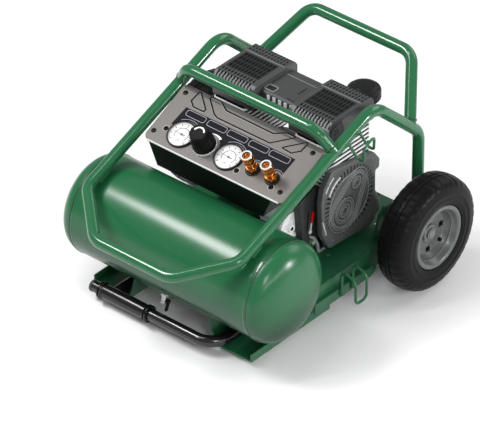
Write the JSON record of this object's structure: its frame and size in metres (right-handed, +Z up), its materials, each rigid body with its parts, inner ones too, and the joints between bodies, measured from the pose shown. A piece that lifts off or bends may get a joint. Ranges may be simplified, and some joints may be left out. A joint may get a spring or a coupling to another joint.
{
  "type": "wheelbarrow air compressor",
  "caption": "Two-wheel portable air compressor: green tube frame round a front tank, sloped gauge panel, twin-cowl pump at the rear and a telescoping pull handle.",
  "frame": {"origin": "on the ground under the middle of the bounding box", "axes": "+X to the side with the hose couplers as seen from the front, +Y from the tank towards the wheels, +Z up"},
  "size_m": [0.656, 0.7366, 0.4427],
  "materials": {
    "green_paint": "gloss green paint",
    "black_plastic": "satin black plastic",
    "panel_grey": "satin warm grey paint",
    "black_steel": "satin black coated steel",
    "tyre": "black tyre rubber",
    "rim_grey": "grey painted pressed steel",
    "steel": "zinc plated steel",
    "brass": "turned brass",
    "aluminium": "cast and machined aluminium",
    "dark_grey": "dark grey moulded plastic",
    "red_plastic": "red plastic",
    "rubber": "black rubber"
  },
  "bodies": {
    "chassis": {"air_filter": "black_plastic", "axle_bracket_left": "green_paint", "axle_bracket_right": "green_paint", "axle_left": "steel", "axle_right": "steel", "cast_bracket": "aluminium", "control_box": "black_plastic", "cord_hook_lower": "green_paint", "cord_hook_upper": "green_paint", "coupler_body_1": "brass", "coupler_body_2": "brass", "cowl_bridge": "dark_grey", "cowl_left": "dark_grey", "cowl_right": "dark_grey", "crankcase_left": "dark_grey", "crankcase_right": "dark_grey", "cylinder_left": "aluminium", "cylinder_right": "aluminium", "drain_valve_body": "steel", "face_plate": "panel_grey", "fan_cover_left": "dark_grey", "fan_cover_right": "dark_grey", "foot_clamp": "steel", "foot_left": "rubber", "foot_right": "rubber", "front_loop": "green_paint", "handle_guide_left": "green_paint", "handle_guide_right": "green_paint", "lift_hoop": "green_paint", "motor_housing": "dark_grey", "outlet_gauge_case": "black_plastic", "pressure_switch": "dark_grey", "pump_mount_left": "rubber", "pump_mount_right": "rubber", "rear_deck": "green_paint", "regulator_body": "steel", "runner_left": "green_paint", "runner_right": "green_paint", "side_hoop_left": "green_paint", "side_hoop_right": "green_paint", "tank_gauge_case": "black_plastic", "tank_saddle_left": "green_paint", "tank_saddle_right": "green_paint", "tank_shell": "green_paint", "top_crossbar": "green_paint"},
    "wheel_left": {"tyre_left": "tyre", "rim_left": "rim_grey"},
    "wheel_right": {"tyre_right": "tyre", "rim_right": "rim_grey"},
    "handle": {"pull_handle": "black_steel", "handle_grip": "black_plastic", "handle_cap": "black_plastic"},
    "drain": {"drain_lever": "black_plastic"},
    "knob": {"regulator_knob": "black_plastic"},
    "sleeve_1": {"coupler_sleeve_1": "brass"},
    "sleeve_2": {"coupler_sleeve_2": "brass"},
    "tank_needle": {"tank_gauge_needle": "black_plastic"},
    "outlet_needle": {"outlet_gauge_needle": "black_plastic"},
    "switch": {"switch_lever": "red_plastic"},
    "rotor_body": {"rotor": "steel"}
  },
  "joints": [
    {"name": "handle_slide", "type": "slide", "parent": "chassis", "child": "handle", "axis": [0, -1, 0], "range_m": [0, 0.255]},
    {"name": "wheel_left_spin", "type": "hinge", "parent": "chassis", "child": "wheel_left", "pos_m": [-0.29, 0.21576, 0.127], "axis": [1, 0, 0], "continuous": true},
    {"name": "wheel_right_spin", "type": "hinge", "parent": "chassis", "child": "wheel_right", "pos_m": [0.29, 0.21576, 0.127], "axis": [1, 0, 0], "continuous": true},
    {"name": "drain_turn", "type": "hinge", "parent": "chassis", "child": "drain", "pos_m": [-0.03, -0.22802, 0.04914], "axis": [1, 0, 0], "range_deg": [0, 90]},
    {"name": "knob_turn", "type": "hinge", "parent": "chassis", "child": "knob", "pos_m": [-0.05, -0.07569, 0.33567], "axis": [0, -0.4258, 0.9048], "range_deg": [0, 1350]},
    {"name": "sleeve_1_slide", "type": "slide", "parent": "chassis", "child": "sleeve_1", "axis": [0, 0.4258, -0.9048], "range_m": [0, 0.006], "stiffness_N_per_m": 900, "springref_m": -0.004},
    {"name": "sleeve_2_slide", "type": "slide", "parent": "chassis", "child": "sleeve_2", "axis": [0, 0.4258, -0.9048], "range_m": [0, 0.006], "stiffness_N_per_m": 900, "springref_m": -0.004},
    {"name": "tank_needle_turn", "type": "hinge", "parent": "chassis", "child": "tank_needle", "pos_m": [-0.1125, -0.07587, 0.33559], "axis": [0, -0.4258, 0.9048], "range_deg": [-221, 49]},
    {"name": "outlet_needle_turn", "type": "hinge", "parent": "chassis", "child": "outlet_needle", "pos_m": [0.0123, -0.07578, 0.33563], "axis": [0, -0.4258, 0.9048], "range_deg": [-221, 49]},
    {"name": "switch_throw", "type": "hinge", "parent": "chassis", "child": "switch", "pos_m": [0.131, 0.03876, 0.146], "axis": [1, 0, 0], "range_deg": [0, 40]},
    {"name": "rotor_spin", "type": "hinge", "parent": "chassis", "child": "rotor_body", "pos_m": [0, 0.13376, 0.191], "axis": [1, 0, 0], "continuous": true}
  ]
}
